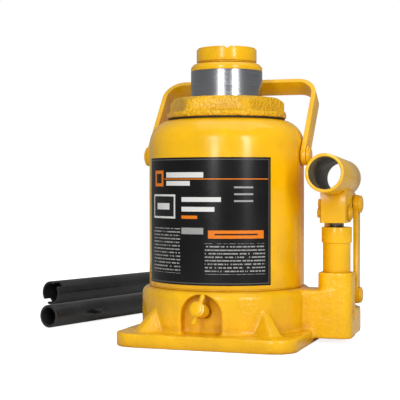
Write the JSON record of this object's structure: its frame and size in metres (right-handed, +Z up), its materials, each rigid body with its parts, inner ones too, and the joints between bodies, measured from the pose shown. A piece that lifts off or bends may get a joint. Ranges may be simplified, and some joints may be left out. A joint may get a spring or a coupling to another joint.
{
  "type": "bottle jack",
  "caption": "Low-profile hydraulic bottle jack: sliding ram with extension screw and saddle, lever pump, release valve, folding carry handle and a separate pump handle.",
  "frame": {"origin": "the ram's axis at the underside of the foot", "axes": "+Z up along the ram, +X towards the pump, -Y towards the release valve"},
  "size_m": [0.2939, 0.4429, 0.19],
  "materials": {
    "yellow_paint": "gloss enamel",
    "cast_paint": "gloss enamel over rough casting",
    "chromed_ram": "hard chrome, ground",
    "machined_steel": "turned",
    "seal_rubber": "moulded",
    "black_tube": "semi-gloss black",
    "label_film": "printed film"
  },
  "bodies": {
    "jack_body": {"base": "cast_paint", "tank_gasket": "seal_rubber", "tank": "yellow_paint", "label": "label_film", "pressure_cylinder": "machined_steel", "top_cap": "yellow_paint", "cap_gasket": "seal_rubber", "ram_wiper": "seal_rubber", "filler_plug": "seal_rubber", "pump_cylinder": "yellow_paint", "pump_packing": "seal_rubber", "check_balls": "machined_steel", "oil_gallery_plug": "yellow_paint", "bail_rivets": "yellow_paint"},
    "ram": {"ram": "chromed_ram", "ram_collar": "yellow_paint", "piston": "machined_steel", "cup_seal": "seal_rubber"},
    "extension_screw": {"extension_screw": "machined_steel"},
    "saddle": {"saddle": "yellow_paint"},
    "release_valve": {"release_valve": "yellow_paint", "valve_cross_pin": "yellow_paint", "valve_seal": "seal_rubber"},
    "links": {"link_straps": "yellow_paint", "link_pins": "yellow_paint", "link_split_pins": "yellow_paint"},
    "pump_lever": {"handle_socket": "yellow_paint", "socket_bracket": "yellow_paint", "plunger_pin": "yellow_paint", "plunger_split_pin": "yellow_paint"},
    "plunger": {"plunger": "machined_steel", "plunger_seal": "seal_rubber"},
    "bail": {"bail": "yellow_paint"},
    "large_tube": {"large_tube": "black_tube"},
    "small_tube": {"small_tube": "black_tube", "lock_pin": "black_tube"}
  },
  "joints": [
    {"name": "ram_lift", "type": "slide", "parent": "jack_body", "child": "ram", "axis": [0, 0, 1], "range_m": [0, 0.08]},
    {"name": "screw_rise", "type": "slide", "parent": "ram", "child": "extension_screw", "axis": [0, 0, 1], "range_m": [0, 0.035]},
    {"name": "saddle_turn", "type": "hinge", "parent": "extension_screw", "child": "saddle", "pos_m": [0, 0, 0.18], "axis": [0, 0, 1], "range_deg": [0, 3150]},
    {"name": "valve_turn", "type": "hinge", "parent": "jack_body", "child": "release_valve", "pos_m": [0, -0.0464, 0.022], "axis": [0, -0.9781, 0.2079], "range_deg": [0, 360]},
    {"name": "link_sway", "type": "hinge", "parent": "jack_body", "child": "links", "pos_m": [0.0735, 0.018, 0.029], "axis": [-1, 0, 0], "range_deg": [-0.7, 0.1]},
    {"name": "handle_swing", "type": "hinge", "parent": "links", "child": "pump_lever", "pos_m": [0.0735, 0.018, 0.088], "axis": [-1, 0, 0], "range_deg": [-4, 46]},
    {"name": "plunger_stroke", "type": "slide", "parent": "jack_body", "child": "plunger", "axis": [0, 0, 1], "range_m": [-0.0013, 0.0147]},
    {"name": "bail_swing", "type": "hinge", "parent": "jack_body", "child": "bail", "pos_m": [0, 0, 0.1195], "axis": [-1, 0, 0], "range_deg": [-4, 66]},
    {"name": "large_tube_lift", "type": "slide", "parent": "jack_body", "child": "large_tube", "axis": [0, 0, 1], "range_m": [0, 0.12]},
    {"name": "small_tube_lift", "type": "slide", "parent": "jack_body", "child": "small_tube", "axis": [0, 0, 1], "range_m": [0, 0.12]}
  ],
  "couplings": [
    {"joint": "saddle_turn", "follows": "screw_rise", "rad_per_m": 1570.8},
    {"joint": "link_sway", "follows": "handle_swing", "ratio": -0.014},
    {"joint": "plunger_stroke", "follows": "handle_swing", "m_per_rad": 0.01816}
  ]
}
